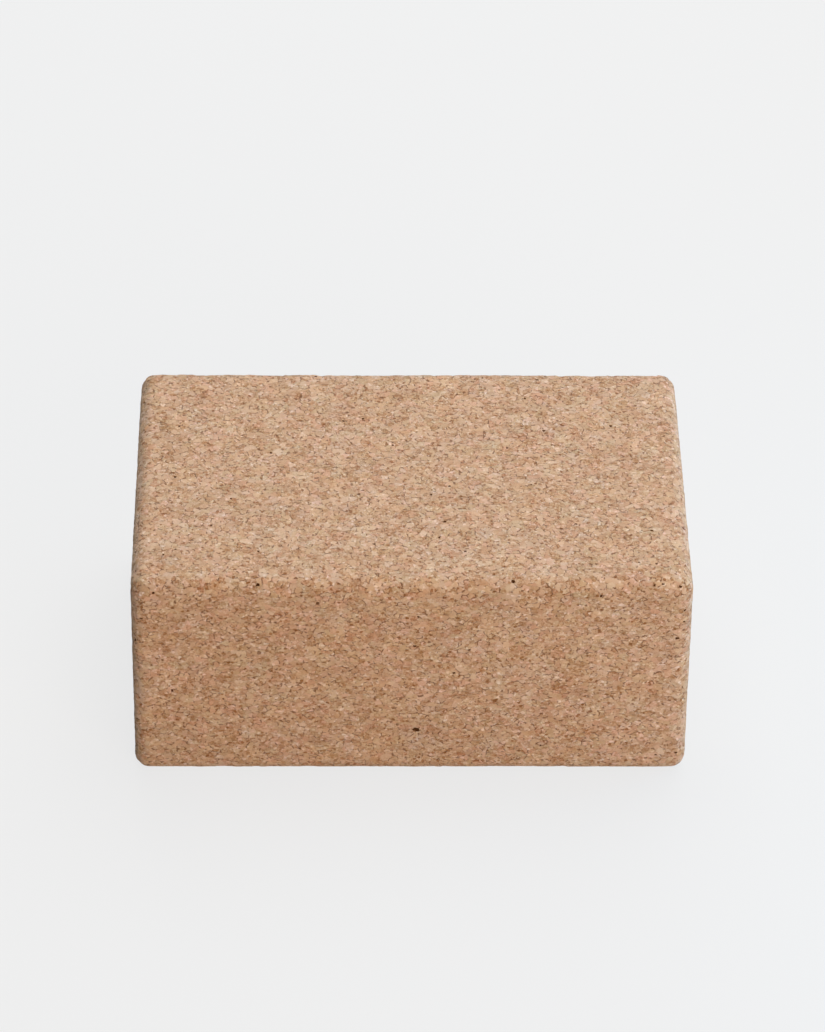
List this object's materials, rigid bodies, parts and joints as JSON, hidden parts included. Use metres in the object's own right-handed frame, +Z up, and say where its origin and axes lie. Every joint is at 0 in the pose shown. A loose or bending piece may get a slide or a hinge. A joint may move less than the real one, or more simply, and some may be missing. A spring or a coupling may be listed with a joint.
{
  "type": "yoga block",
  "caption": "Solid cork exercise block with rounded edges and flat faces, used on any face to bring the floor closer to a hand, foot or seat.",
  "frame": {"origin": "middle of the bottom face", "axes": "+X along the longest side, -Y out of the front face, +Z up, along the shortest side, in which the cork was pressed"},
  "size_m": [0.2286, 0.1524, 0.098],
  "materials": {
    "pressed_cork": "matte, sanded agglomerated cork with open pores",
    "rose_cork": "matte, sanded",
    "honey_cork": "matte, sanded",
    "cream_cork": "matte, sanded",
    "russet_cork": "matte, sanded",
    "olive_cork": "matte, sanded bark",
    "grey_cork": "matte, weathered bark"
  },
  "bodies": {
    "root": {"cork_body": "pressed_cork", "rose_granules": "rose_cork", "honey_granules": "honey_cork", "cream_granules": "cream_cork", "russet_granules": "russet_cork", "olive_granules": "olive_cork", "grey_granules": "grey_cork"}
  },
  "joints": []
}
